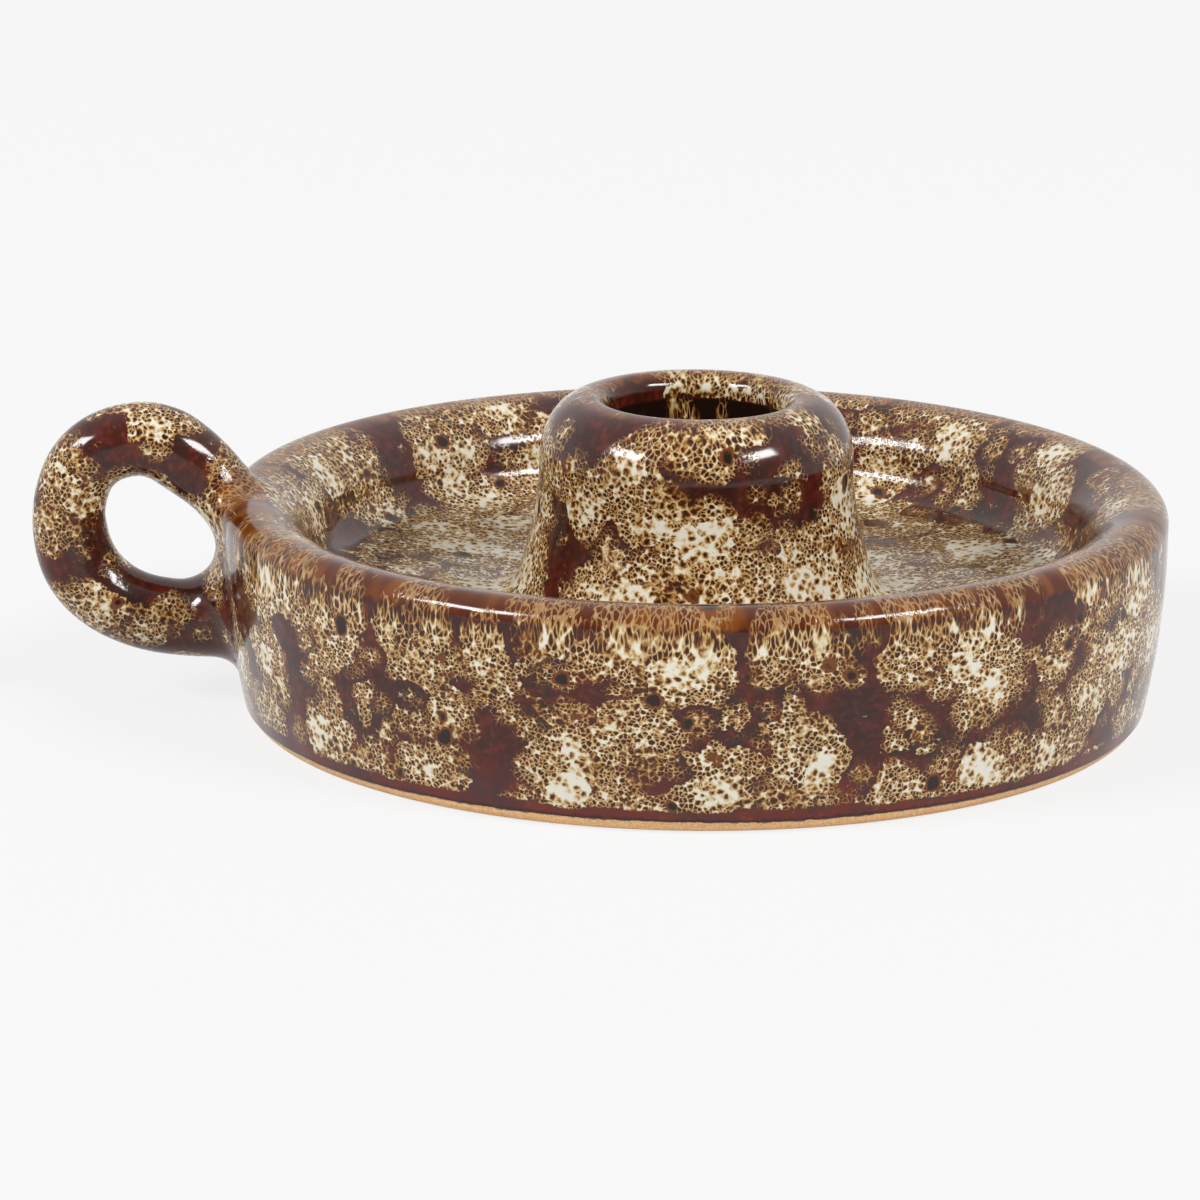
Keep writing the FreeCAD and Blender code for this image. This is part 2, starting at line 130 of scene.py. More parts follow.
def makeSoftbox(name, bearing, height):
    a, e = math.radians(bearing), math.radians(height)
    out = Vector((math.sin(a) * math.cos(e), -math.cos(a) * math.cos(e), math.sin(e)))
    data = bpy.data.lights.new(name, "AREA")
    data.shape = "RECTANGLE"
    data.size = 2 * studio["distance"] * math.tan(math.radians(studio["boxWidth"] / 2))
    data.size_y = 2 * studio["distance"] * math.tan(math.radians(studio["boxHeight"] / 2))
    data.energy = studio["radiance"] * math.pi * data.size * data.size_y  # watts of a flat even emitter
    lamp = bpy.data.objects.new(name, data)
    lamp.location = out * studio["distance"]
    lamp.rotation_mode = "QUATERNION"
    lamp.rotation_quaternion = (-out).to_track_quat("-Z", "Y")
    bpy.context.collection.objects.link(lamp)


def makeRoom():
    world = bpy.data.worlds.new("paleRoom")
    bpy.context.scene.world = world
    world.use_nodes = True
    tree = world.node_tree
    tree.nodes.clear()
    path = addNode(tree, "LightPath")
    # gloss shows the bright backdrop behind the object and overhead, and the dim room on the photographer's side
    bearing = addNode(tree, "SeparateXYZ", {"Vector": addNode(tree, "TexCoord").outputs["Generated"]})
    bright = addNode(tree, "MapRange", {"Value": bearing.outputs["Y"], "From Min": studio["dimSide"][0],
                                        "From Max": studio["dimSide"][1]}, interpolation_type="SMOOTHSTEP")
    seen = addNode(tree, "Math", {0: path.outputs["Is Glossy Ray"], 1: bright}, operation="MULTIPLY")
    for ray in ("Is Camera Ray", "Is Transmission Ray"):
        seen = addNode(tree, "Math", {0: seen, 1: path.outputs[ray]}, operation="MAXIMUM")
    strength = addNode(tree, "MapRange", {"Value": seen, "To Min": studio["roomStrength"], "To Max": 1.0})
    glow = addNode(tree, "Background", {"Color": linearColour(studio["backdrop"]), "Strength": strength})
    addNode(tree, "OutputWorld", {"Surface": glow})


def makeTable():
    # a flat pale sheet, a square of side 2 * half
    mesh = bpy.data.meshes.new("table")
    half, top = studio["paperHalf"], studio["paperTop"]
    corners = [(x * half, y * half, top) for x, y in ((-1, -1), (1, -1), (1, 1), (-1, 1))]
    mesh.from_pydata(corners, [], [(0, 1, 2, 3)])
    table = bpy.data.objects.new("table", mesh)
    bpy.context.collection.objects.link(table)
    material, tree = newMaterial("matt white paper")
    paper = addNode(tree, "BsdfDiffuse", {"Color": linearColour(studio["paper"])})
    even = addNode(tree, "Emission", {"Color": linearColour(studio["paperEven"])})
    path = addNode(tree, "LightPath")
    rays = {0: path.outputs["Is Camera Ray"], 1: path.outputs["Is Glossy Ray"]}
    seen = addNode(tree, "Math", rays, operation="MAXIMUM")
    share = addNode(tree, "Math", {0: seen, 1: studio["paperShare"]}, operation="MULTIPLY")
    both = addNode(tree, "MixShader", {0: share, 1: paper, 2: even})
    addNode(tree, "OutputMaterial", {"Surface": both})
    mesh.materials.append(material)


makeSoftbox("softboxLeft", *studio["leftSide"])
makeSoftbox("softboxRight", *studio["rightSide"])
makeRoom()
makeTable()
print("light and table made")


# outlines: points in millimetres, (radius, height), with the clay on their right. Each run's last value is the
# spacing of its points in millimetres
def arcRun(centre, radius, start, end, spacing):
    # points round a centre: centre + radius * (cos a, sin a) for a from start to end, in degrees
    count = max(3, int(abs(math.radians(end - start)) * radius / spacing) + 2)
    a = np.radians(np.linspace(start, end, count))
    return np.stack([centre[0] + radius * np.cos(a), centre[1] + radius * np.sin(a)], 1)


def straightRun(start, end, spacing):
    # points evenly along a straight line: start + t * (end - start)
    start, end = np.array(start, float), np.array(end, float)
    count = max(2, int(np.linalg.norm(end - start) / spacing) + 2)
    return start + np.linspace(0, 1, count)[:, None] * (end - start)


nearlyShared = 0.02  # mm


def joinRuns(*runs):
    # the runs one after the other, without the points that two of them share or nearly share
    points = np.concatenate(runs)
    keep = np.ones(len(points), bool)
    keep[1:] = np.linalg.norm(np.diff(points, axis=0), axis=1) > nearlyShared
    return points[keep]


def outlineNormals(points):
    # the line's direction by central differences, turned a quarter turn to the left
    along = np.gradient(points, axis=0)
    along /= np.linalg.norm(along, axis=1, keepdims=True)
    return np.stack([-along[:, 1], along[:, 0]], 1)


dish = {
    "rimRadius": 60.0,
    "rimRound": 2.9,          # outer side of the rim
    "height": 28.5,
    "wallArc": 110.73,        # the outside wall's long curve
    "shoulderRound": 8.0,     # inner side of the rim
    "floorLevel": 15.4,       # under the socket
    "floorRadius": 26.06,     # where the floor begins to rise
    "floorEdge": (44.7, 17.4),
    "footOuter": 55.09,
    "footCorner": 2.4,
    "footInner": 50.0,
    "recessHeight": 9.4,
    "recessRound": 3.0,
    "recessLean": 1.0,
    "wallFoot": 1.89,         # height where the wall's curve gives way to the foot's corner
    "cornerStart": -12.0,     # degrees
    "fineFrom": 0.85,         # share of the wall's curve below which its points lie close, for the glaze's end
    "turns": 312,             # points round the axis
}
plumb = dish["height"] - dish["rimRound"]
crestRadius = dish["rimRadius"] - dish["rimRound"]


def dishOutline():
    # the floor's middle, out to the cove, up the inner wall, over the rim, down the outside, and in under the foot;
    # the cove's radius follows from touching both the rising floor and the rim's inner round
    roll = dish["shoulderRound"]
    rollCentre = np.array([crestRadius, dish["height"] - roll])
    edge = np.array(dish["floorEdge"])
    rise = math.atan2(edge[1] - dish["floorLevel"], edge[0] - dish["floorRadius"])
    upward = np.array([-math.sin(rise), math.cos(rise)])
    gap = rollCentre - edge
    cove = (gap @ gap - roll ** 2) / (2 * (roll + gap @ upward))
    coveCentre = edge + cove * upward
    lean = math.degrees(math.atan2(*(rollCentre - coveCentre)[::-1]))
    wallCentre = (dish["rimRadius"] - dish["wallArc"], plumb)
    wallEnd = math.degrees(math.asin((dish["wallFoot"] - plumb) / dish["wallArc"]))
    fineStart = dish["fineFrom"] * wallEnd
    cornerCentre = (dish["footOuter"], dish["footCorner"])
    side = dish["recessHeight"] - dish["recessRound"]
    tilt = math.atan2(dish["recessLean"], side)
    sideTop = (dish["footInner"] - dish["recessLean"], side + dish["recessRound"] * math.sin(tilt))
    turnCentre = (sideTop[0] - dish["recessRound"] * math.cos(tilt), side)
    return joinRuns(
        straightRun((0, dish["floorLevel"]), (dish["floorRadius"], dish["floorLevel"]), 1.5),
        straightRun((dish["floorRadius"], dish["floorLevel"]), edge, 0.6),
        arcRun(coveCentre, cove, math.degrees(rise) - 90, lean, 0.35),
        arcRun(rollCentre, roll, 180 + lean, 90, 0.35),
        arcRun((crestRadius, plumb), dish["rimRound"], 90, 0, 0.25),
        arcRun(wallCentre, dish["wallArc"], 0, fineStart, 0.5),
        arcRun(wallCentre, dish["wallArc"], fineStart, wallEnd, 0.1),
        arcRun(cornerCentre, dish["footCorner"], dish["cornerStart"], -90, 0.08),
        straightRun((dish["footOuter"], 0), (dish["footInner"], 0), 0.5),
        straightRun((dish["footInner"], 0), sideTop, 0.6),
        arcRun(turnCentre, dish["recessRound"], math.degrees(tilt), 90, 0.4),
        straightRun((turnCentre[0], dish["recessHeight"]), (0, dish["recessHeight"]), 1.5))


socket = {
    "bore": 11.4,
    "lipRound": 2.2,
    "top": 40.8,
    "crestRound": 5.70,
    "shoulderHeight": 33.2,
    "radius": 20.0,
    "shoulderRound": 8.62,
    "bellRound": 46.0,
    "footRound": 2.5,
    "footEnd": 266.0,         # degrees, where the hollow at the foot runs out on the floor
    "seat": 1.0,              # mm that it reaches into the dish's floor
    "turns": 240,
}


def socketOutline():
    # up the bore, over the lip, the crest and the shoulder, down the bell, and out on the floor in a tight hollow
    foot = dish["floorLevel"]
    bellCentre = np.array([socket["radius"] + socket["bellRound"], socket["shoulderHeight"]])
    flareHeight = foot + socket["footRound"]
    between = socket["bellRound"] - socket["footRound"]
    drop = bellCentre[1] - flareHeight
    flareCentre = np.array([bellCentre[0] - math.sqrt(between ** 2 - drop ** 2), flareHeight])
    lean = 180 + math.degrees(math.atan2(drop, bellCentre[0] - flareCentre[0]))
    crestCentre = np.array([socket["bore"] + socket["lipRound"], socket["top"] - socket["crestRound"]])
    shoulderCentre = np.array([socket["radius"] - socket["shoulderRound"], socket["shoulderHeight"]])
    meet = math.degrees(math.atan2(*(crestCentre - shoulderCentre)[::-1]))
    lip = (crestCentre[0], socket["top"] - socket["lipRound"])
    return joinRuns(
        straightRun((socket["bore"], foot - socket["seat"]), (socket["bore"], lip[1]), 0.8),
        arcRun(lip, socket["lipRound"], 180, 90, 0.25),
        arcRun(crestCentre, socket["crestRound"], 90, meet, 0.3),
        arcRun(shoulderCentre, socket["shoulderRound"], meet, 0, 0.35),
        arcRun(bellCentre, socket["bellRound"], 180, lean, 0.5),
        arcRun(flareCentre, socket["footRound"], lean, socket["footEnd"], 0.2),
        straightRun((flareCentre[0], foot - 0.2), (flareCentre[0] - 1, foot - socket["seat"]), 0.4))


# what the potter's hand and the kiln leave on every piece
ware = {
    # all in mm; a pair of heights or radii is where something begins and where it is full
    "oval": 0.12,             # that the ring is out of round
    "sway": 0.16,             # that the rim dips
    "steady": (3.0, 26.0),    # heights between which both grow, from nothing at the foot
    "still": (15.0, 50.0),    # radii between which the dip grows
    "rimRing": (57.6, 25.2),  # the pattern is drawn long round these rings, (radius, height)
    "rimPull": (2.2, 9.0),    # taken out, and how far out it is felt
    "rimEdge": (57.8, 28.3),  # where the glaze runs thin
    "rimThin": (1.8, 4.2),
    "crestRing": (13.8, 36.0),
    "crestPull": (2.4, 7.5),
    "crestEdge": (13.8, 40.6),
    "crestThin": (0.8, 3.2),
    "crestShare": 0.6,        # how thin the crest is beside the rim
    "pullSoft": 1.6,          # how near a ring the pull dies away
    "poolTop": (17.0, 22.0),  # the glaze gathers below these heights and inside these radii
    "poolEdge": (44.0, 50.0),
    "glazeLine": 1.5,         # height where the glaze ends above the dry foot
    "glazeLineWave": 0.2,
    "glazeLineSines": ((3, 0.4), (7, 2.1), (13, 4.0), (29, 1.2), (47, 3.3)),  # waves in a turn, and their shift
    "glazeStep": 0.2,         # thickness of the glaze at its end
    "glazeEnd": (-0.12, 0.22),  # from the line, where the step is full and where it is gone
    "dryEdge": (53.5, 55.0),  # the step is on the outside's lowest few mm alone
    "dryTop": 4.0,
}
# where the coat lies thicker or thinner, as shares of its thickness; the rest in mm, as above
coat = {
    "hanging": 0.35,                  # on the outside, under the rim
    "hangingEdge": (53.0, 56.0),
    "hangingFrom": (17.0, 20.5),
    "hangingTo": (23.0, 26.0),
    "hangingLimit": 62.0,
    "bellSide": 0.9,                  # on the bell's side that faces the viewer's right
    "bellEdge": (25.0, 27.0),
    "bellRight": (-4.0, 10.0),
    "bellFront": (-4.0, 4.0),
    "bellTo": (24.0, 32.0),
    "bellTop": -0.35,
    "bellTopFrom": (30.0, 35.0),
    "bore": -4.0,                     # hardly any glaze down in the bore, and there the glaze is also painted near black, as painted shade
    "boreEdge": (11.4, 12.0),
    "boreTo": (37.0, 38.2),
    "boreFloor": 10.0,
}


def handmade(points):
    # r shrinks by oval * (1 + cos(2t + 0.7)) / 2, and z by sway * (1 + cos(3t + 1)) / 2, both from the foot upward
    x, y, z = points.T
    t = np.arctan2(y, x)
    r = np.hypot(x, y)
    lift = smoothRamp(z, *ware["steady"])
    shrink = 1 - ware["oval"] * lift * (1 + np.cos(2 * t + 0.7)) / 2 / np.maximum(r, 20.0)
    drop = ware["sway"] * lift * (1 + np.cos(3 * t + 1.0)) / 2 * smoothRamp(r, *ware["still"])
    return np.stack([x * shrink, y * shrink, z - drop], 1)


def glazeLineHeight(t):
    # the glaze's lower end, a low wave: the sum of sin(k t + shift) / sqrt(k)
    wave = sum(np.sin(k * t + shift) / k ** 0.5 for k, shift in ware["glazeLineSines"])
    return ware["glazeLine"] + ware["glazeLineWave"] * wave / 2


def nearRing(r, z, ring, span):
    # 1 within the first distance of a ring, falling to 0 at the second
    return 1 - smoothRamp(np.hypot(r - ring[0], z - ring[1]), *span)


def glazeMarks(points):
    # pattern: the place itself, drawn in towards two rings by pull * (1 - exp(-d / soft)) * exp(-(d / reach)^3), so
    # that it runs long over the edges; thin: 1 where the glaze runs off an edge; pool: 1 on the dish's floor, where
    # it gathers; drip: mm above the line where the glaze ends; coat: how much thicker it lies, as it hangs below
    # the rim and on one side of the bell, or thinner, as on the bell's top and in the bore, where its lowest values
    # also lay painted shade, near black, over the glaze
    x, y, z = points.T
    r = np.hypot(x, y)
    safe = np.maximum(r, 1e-6)
    newR, newZ = r.copy(), z.copy()
    for ring, (pull, reach) in ((ware["rimRing"], ware["rimPull"]), (ware["crestRing"], ware["crestPull"])):
        dr, dz = r - ring[0], z - ring[1]
        d = np.maximum(np.hypot(dr, dz), 1e-6)
        taken = pull * (1 - np.exp(-d / ware["pullSoft"])) * np.exp(-(d / reach) ** 3)
        newR -= dr / d * taken
        newZ -= dz / d * taken
    pattern = np.stack([x / safe * newR, y / safe * newR, newZ], 1)
    thin = np.maximum(nearRing(r, z, ware["rimEdge"], ware["rimThin"]),
                      ware["crestShare"] * nearRing(r, z, ware["crestEdge"], ware["crestThin"]))
    pool = (1 - smoothRamp(z, *ware["poolTop"])) * (1 - smoothRamp(r, *ware["poolEdge"]))
    drip = z - glazeLineHeight(np.arctan2(y, x))
    below = 1 - smoothRamp(z, *coat["hangingTo"])
    hanging = smoothRamp(r, *coat["hangingEdge"]) * smoothRamp(z, *coat["hangingFrom"]) * below
    hanging = hanging * (r < coat["hangingLimit"])
    bell = 1 - smoothRamp(r, *coat["bellEdge"])
    side = smoothRamp(x, *coat["bellRight"]) * smoothRamp(-y, *coat["bellFront"])
    side = coat["bellSide"] * side * (1 - smoothRamp(z, *coat["bellTo"]))
    top = coat["bellTop"] * smoothRamp(z, *coat["bellTopFrom"])
    # the bore: a thin coat there, and painted shade, as the glaze in it is laid near black further on
    thinAndShadedBore = (1 - smoothRamp(r, *coat["boreEdge"])) * (1 - smoothRamp(z, *coat["boreTo"])) * (z > coat["boreFloor"])
    thicker = coat["hanging"] * hanging + bell * (side + top) + coat["bore"] * thinAndShadedBore
    return {"pattern": pattern, "thin": thin, "pool": pool, "drip": drip, "coat": thicker}


def writeMarks(mesh, marks):
    for name, values in marks.items():
        flat = values.ndim > 1
        mark = mesh.attributes.new(name, "FLOAT_VECTOR" if flat else "FLOAT", "POINT")
        mark.data.foreach_set("vector" if flat else "value", values.astype(np.float32).ravel())


# surfaces
def turnedPiece(name, outline, turns, closed, shape=None):
    # the outline carried round the upright axis: (r cos t, r sin t, z); a row on the axis is one point
    t = np.linspace(0, 2 * math.pi, turns, endpoint=False)
    rows = outline if closed else outline[1:-1]
    r = np.repeat(rows[:, :1], turns, axis=1)
    z = np.repeat(rows[:, 1:], turns, axis=1)
    if shape is not None:
        r, z = shape(r, z, t)
    grid = np.stack([r * np.cos(t), r * np.sin(t), z], -1).reshape(-1, 3)
    n, m = len(rows), turns
    i, j = np.meshgrid(np.arange(n if closed else n - 1), np.arange(m), indexing="ij")
    i, j = i.ravel(), j.ravel()
    i2, j2 = (i + 1) % n, (j + 1) % m
    faces = np.stack([i * m + j, i * m + j2, i2 * m + j2, i2 * m + j], 1)[:, ::-1].tolist()
    if not closed:
        first, last = len(grid), len(grid) + 1
        grid = np.concatenate([grid, [[0, 0, outline[0][1]], [0, 0, outline[-1][1]]]])
        j = np.arange(m)
        faces += np.stack([np.full(m, first), j, (j + 1) % m], 1).tolist()
        faces += np.stack([np.full(m, last), (n - 1) * m + (j + 1) % m, (n - 1) * m + j], 1).tolist()
    return meshPiece(name, grid, faces)


def meshPiece(name, points, faces, evenCoat=None):
    marks = glazeMarks(points)
    if evenCoat is not None:
        marks["coat"] = np.full(len(points), evenCoat)
    points = handmade(points)
    mesh = bpy.data.meshes.new(name)
    mesh.from_pydata((points * metre).tolist(), [], faces)
    mesh.polygons.foreach_set("use_smooth", np.ones(len(mesh.polygons), bool))
    writeMarks(mesh, marks)
    mesh.update()
    piece = bpy.data.objects.new(name, mesh)
    bpy.context.collection.objects.link(piece)
    return piece


def dryFoot(r, z, t):
    # below the glaze line the clay lies back by the glaze's thickness: step * (1 - ramp(height over the line))
    over = z - glazeLineHeight(t)
    outside = smoothRamp(r, *ware["dryEdge"]) * (z < ware["dryTop"])
    back = ware["glazeStep"] * (1 - smoothRamp(over, *ware["glazeEnd"])) * outside
    return r - back, z


loop = {
    # the coil's middle, (x, height), and half its thickness, from the wall round to the rim
    "line": ((-56.0, 12.4, 6.2), (-60.9, 11.5, 5.5), (-64.9, 11.05, 4.95), (-68.6, 11.4, 4.85), (-71.8, 12.3, 4.8),
             (-74.8, 13.9, 4.85), (-77.5, 16.5, 4.9), (-79.2, 20.0, 4.85), (-79.8, 25.1, 4.62), (-78.3, 30.2, 4.55),
             (-75.2, 33.2, 4.6), (-71.0, 34.4, 4.7), (-67.6, 33.8, 4.8), (-64.9, 32.1, 4.75), (-62.3, 30.0, 4.45),
             (-59.9, 27.9, 3.9), (-57.4, 25.9, 3.3), (-54.9, 24.2, 2.8)),
    # slip drawn down the wall between the two ends
    "tongue": ((-59.6, 26.5, 2.4), (-59.3, 21.0, 1.75), (-58.9, 14.0, 2.4)),
    "tongueFlat": 0.45,       # its thickness as a share of its width
    "tongueBlend": 3.5,       # mm over which it runs into the coil
    "coat": -0.42,            # thinner glaze than on the dish
    "blend": (3.6, 2.0),      # mm over which it runs into the dish, at the root and at the rim
    "blendHeights": (15.0, 23.0),
    "sunk": 0.12,             # mm that the run-out ends under the dish's skin
    "seat": 1.4,              # mm that it reaches into the dish
    "runOut": 3.8,            # mm from the coil to where the slip ends
    "cell": 0.4,              # mm between the points of its skin
    "spacing": (0.4, 0.5),    # mm between the points of the coil's middle and of the tongue's
    "boxSpread": 1.6,         # how much wider than the margin the box is that the skin is sought in
    "nearRadii": (46.0, 90.0),  # mm, where the distance from the dish is kept, and how closely
    "nearHeights": (-1.0, 46.0),
    "nearCell": 0.15,
}


def dishField(outline):
    # distance from the dish's skin, negative in the clay, kept on a grid of (r, z) and read between its points
    spacing = loop["nearCell"]
    r = np.arange(*loop["nearRadii"], spacing)
    z = np.arange(*loop["nearHeights"], spacing)
    gridR, gridZ = np.meshgrid(r, z, indexing="ij")
    normals = outlineNormals(outline)
    best = np.full(gridR.shape, 1e9)
    sign = np.ones(gridR.shape)
    for (atR, atZ), (normalR, normalZ) in zip(outline, normals):
        dr, dz = gridR - atR, gridZ - atZ
        d = dr * dr + dz * dz
        sign = np.where(d < best, np.sign(dr * normalR + dz * normalZ), sign)
        best = np.minimum(d, best)
    table = np.sqrt(best) * sign

    def distance(points):
        u = np.clip((np.hypot(points[:, 0], points[:, 1]) - r[0]) / spacing, 0, len(r) - 1.001)
        v = np.clip((points[:, 2] - z[0]) / spacing, 0, len(z) - 1.001)
        i, j = u.astype(int), v.astype(int)
        u, v = u - i, v - j
        return ((table[i, j] * (1 - u) + table[i + 1, j] * u) * (1 - v)
                + (table[i, j + 1] * (1 - u) + table[i + 1, j + 1] * u) * v)
    return distance


def smoothCurve(knots, spacing):
    # a Catmull-Rom curve through the knots, (x, height, half thickness), carried on straight past both ends
    knots = np.array(knots, float)
    knots = np.concatenate([2 * knots[:1] - knots[1:2], knots, 2 * knots[-1:] - knots[-2:-1]])
    before, start, end, after = knots[:-3], knots[1:-2], knots[2:-1], knots[3:]
    count = int(np.linalg.norm(end - start, axis=1).max() / spacing) + 2
    t = np.linspace(0, 1, count, endpoint=False)[None, :, None]
    before, start, end, after = (k[:, None, :] for k in (before, start, end, after))
    curve = 0.5 * (2 * start + (end - before) * t + (2 * before - 5 * start + 4 * end - after) * t ** 2
                   + (3 * start - before - 3 * end + after) * t ** 3)
    return np.concatenate([curve.reshape(-1, 3), knots[-2:-1]])


def coilDistance(points, curve, flat=1.0):
    # the least of distance to a point of the curve less its half thickness, with sideways counted flat times
    nearest = np.full(len(points), 1e9)
    for x, z, half in curve:
        d = np.sqrt((points[:, 0] - x) ** 2 + (flat * points[:, 1]) ** 2 + (points[:, 2] - z) ** 2) - half
        nearest = np.minimum(nearest, d)
    return nearest


def blended(first, second, reach):
    # the lesser of two distances, less h * h * reach / 4, where h falls from 1 to 0 as they draw apart by reach
    h = np.maximum(reach - np.abs(first - second), 0) / reach
    return np.minimum(first, second) - h * h * reach / 4


def skinOf(field, low, high, step):
    # surface nets: one point in each cell that the skin passes, moved on to it down the field's slope, and one face
    # round each grid edge that the skin crosses
    axes = [np.arange(low[k], high[k] + step, step) for k in range(3)]
    grid = np.stack(np.meshgrid(*axes, indexing="ij"), -1)
    inside = (field(grid.reshape(-1, 3)) < 0).reshape(grid.shape[:3])
    corners = sum(inside[i:len(axes[0]) - 1 + i, j:len(axes[1]) - 1 + j, k:len(axes[2]) - 1 + k].astype(int)
                  for i in (0, 1) for j in (0, 1) for k in (0, 1))
    cells = (corners > 0) & (corners < 8)
    index = np.full(cells.shape, -1)
    index[cells] = np.arange(cells.sum())
    points = np.array(low) + (np.argwhere(cells) + 0.5) * step
    for _ in range(6):
        value = field(points)
        slope = np.stack([field(points + e) - field(points - e) for e in np.eye(3) * 0.02], 1) / 0.04
        move = value[:, None] * slope / np.maximum((slope ** 2).sum(1, keepdims=True), 0.25)
        points = points - np.clip(move, -0.4 * step, 0.4 * step)
    faces = []
    for k in range(3):
        u, v = [axis for axis in range(3) if axis != k]
        first = np.take(inside, np.arange(inside.shape[k] - 1), k)
        second = np.take(inside, np.arange(1, inside.shape[k]), k)
        at = np.argwhere(first != second)
        outward = first[tuple(at.T)] == (k != 1)
        turn = []
        for du, dv in ((0, 0), (1, 0), (1, 1), (0, 1)):
            cell = at.copy()
            cell[:, u] -= du
            cell[:, v] -= dv
            turn.append(index[tuple(cell.T)])
        quads = np.stack(turn, 1)
        faces.append(np.where(outward[:, None], quads, quads[:, ::-1]))
    return points, np.concatenate(faces).tolist()


def makeLoop(outline):
    # the coil and the tongue run into each other and into the dish, sunk a little, and the skin closes inside it:
    # the greatest of that blend, -(dish distance + seat) and coil distance - runOut
    dishDistance = dishField(outline)
    coil, tongue = (smoothCurve(loop[name], step) for name, step in zip(("line", "tongue"), loop["spacing"]))

    def field(points):
        toDish = dishDistance(points)
        toTongue = coilDistance(points, tongue, loop["tongueFlat"])
        toCoil = blended(coilDistance(points, coil), toTongue, loop["tongueBlend"])
        atRoot, atRim = loop["blend"]
        reach = atRoot + (atRim - atRoot) * smoothRamp(points[:, 2], *loop["blendHeights"])
        body = blended(toCoil, toDish + loop["sunk"], reach)
        return np.maximum(np.maximum(body, -(toDish + loop["seat"])), toCoil - loop["runOut"])

    knots = np.array(loop["line"] + loop["tongue"])
    margin = knots[:, 2].max() + loop["runOut"] + 1
    side = loop["boxSpread"] * margin
    low = (knots[:, 0].min() - margin, -side, knots[:, 1].min() - margin)
    high = (knots[:, 0].max() + margin, side, knots[:, 1].max() + margin)
    points, faces = skinOf(field, low, high, loop["cell"])
    return meshPiece("fingerLoop", points, faces, loop["coat"])


# materials
glaze = {
    # sizes in mm
    "blotch": 10.5,           # from one cream blotch to the next
    "lobe": 4.2,              # the round lobes that a blotch is built of
    "ring": 9.0,              # from one small round blotch to the next
    "net": ((0.60, 0.44), (1.05, 0.38)),  # one cell of the cream net, and its least pore in cells: fine, then coarse
    "eye": 6.0,               # from one dark eye to the next
    "fleck": 1.6,             # from one rusty fleck in the plain glaze to the next
    "relief": 0.03,           # how far the cream stands up
    # noise per mm, its detail, and how many mm a place strays with it: far, middle and near
    "stray": ((0.13, 1.0, 4.0), (0.4, 2.0, 1.8), (1.1, 2.0, 0.75)),
    # how much of the ware the cream takes, how fast it falls off from a blotch's middle and a lobe's, and how much
    # of a blotch's place is taken from its lobes
    "cover": 1.35,
    "blotchFall": 1.6,
    "lobeFall": 0.6,
    "lobeHold": 0.65,
    "ringTop": 0.62,          # cover and fall of the small round blotches
    "ringFall": 2.6,
    "onFloor": 0.22,          # what the pool and the thicker coat add to the cream
    "onCoat": 0.35,
    "line": 0.12,             # half width of the net's lines, in cells
    "widePore": 0.66,         # largest pore, in cells
    "gloss": (0.09, 0.14),    # roughness, least and most
    "refraction": 1.43,       # index of refraction, as the photo's reflections ask for
    # colours, a little deeper than they look, because the gloss lays a pale film on them
    "maroon": "#622119",
    "plum": "#492322",
    "ember": "#70290f",
    "slate": "#362c28",
    "fleckRust": "#7c3c22",
    "pit": "#2a1306",
    "eyeRim": "#6f3a12",
    # the eyes' dark middles, and painted shade down in the bore
    "eyeDark": "#20120d",
    "rim": "#542207",
    "rimGlow": "#743c0b",
    "burnt": "#2c130b",
    "halo": "#6c3c0c",
    "tan": "#a9824a",
    "cream": "#cbb78c",
    "ivory": "#dcd8ca",
    "thread": "#ba9663",
}
clay = {
    "body": "#dca970",
    "pale": "#efc898",
    "speck": "#7a4a25",
    "sand": 0.35,             # mm, from one grain of sand to the next
    "iron": 1.6,              # mm, from one iron speck to the next
    "toolMark": 1.1,          # mm, from one turning mark to the next
    "toolDepth": 0.12,        # mm
    "sandDepth": 0.05,        # mm
    "underGlaze": 0.8,        # roughness beside the glaze's end, and underneath
    "underneath": 0.82,
}
# share of the cream's depth, and its colour there
toneStops = ((0.0, "halo"), (0.22, "halo"), (0.41, "tan"), (0.60, "cream"), (0.92, "ivory"))


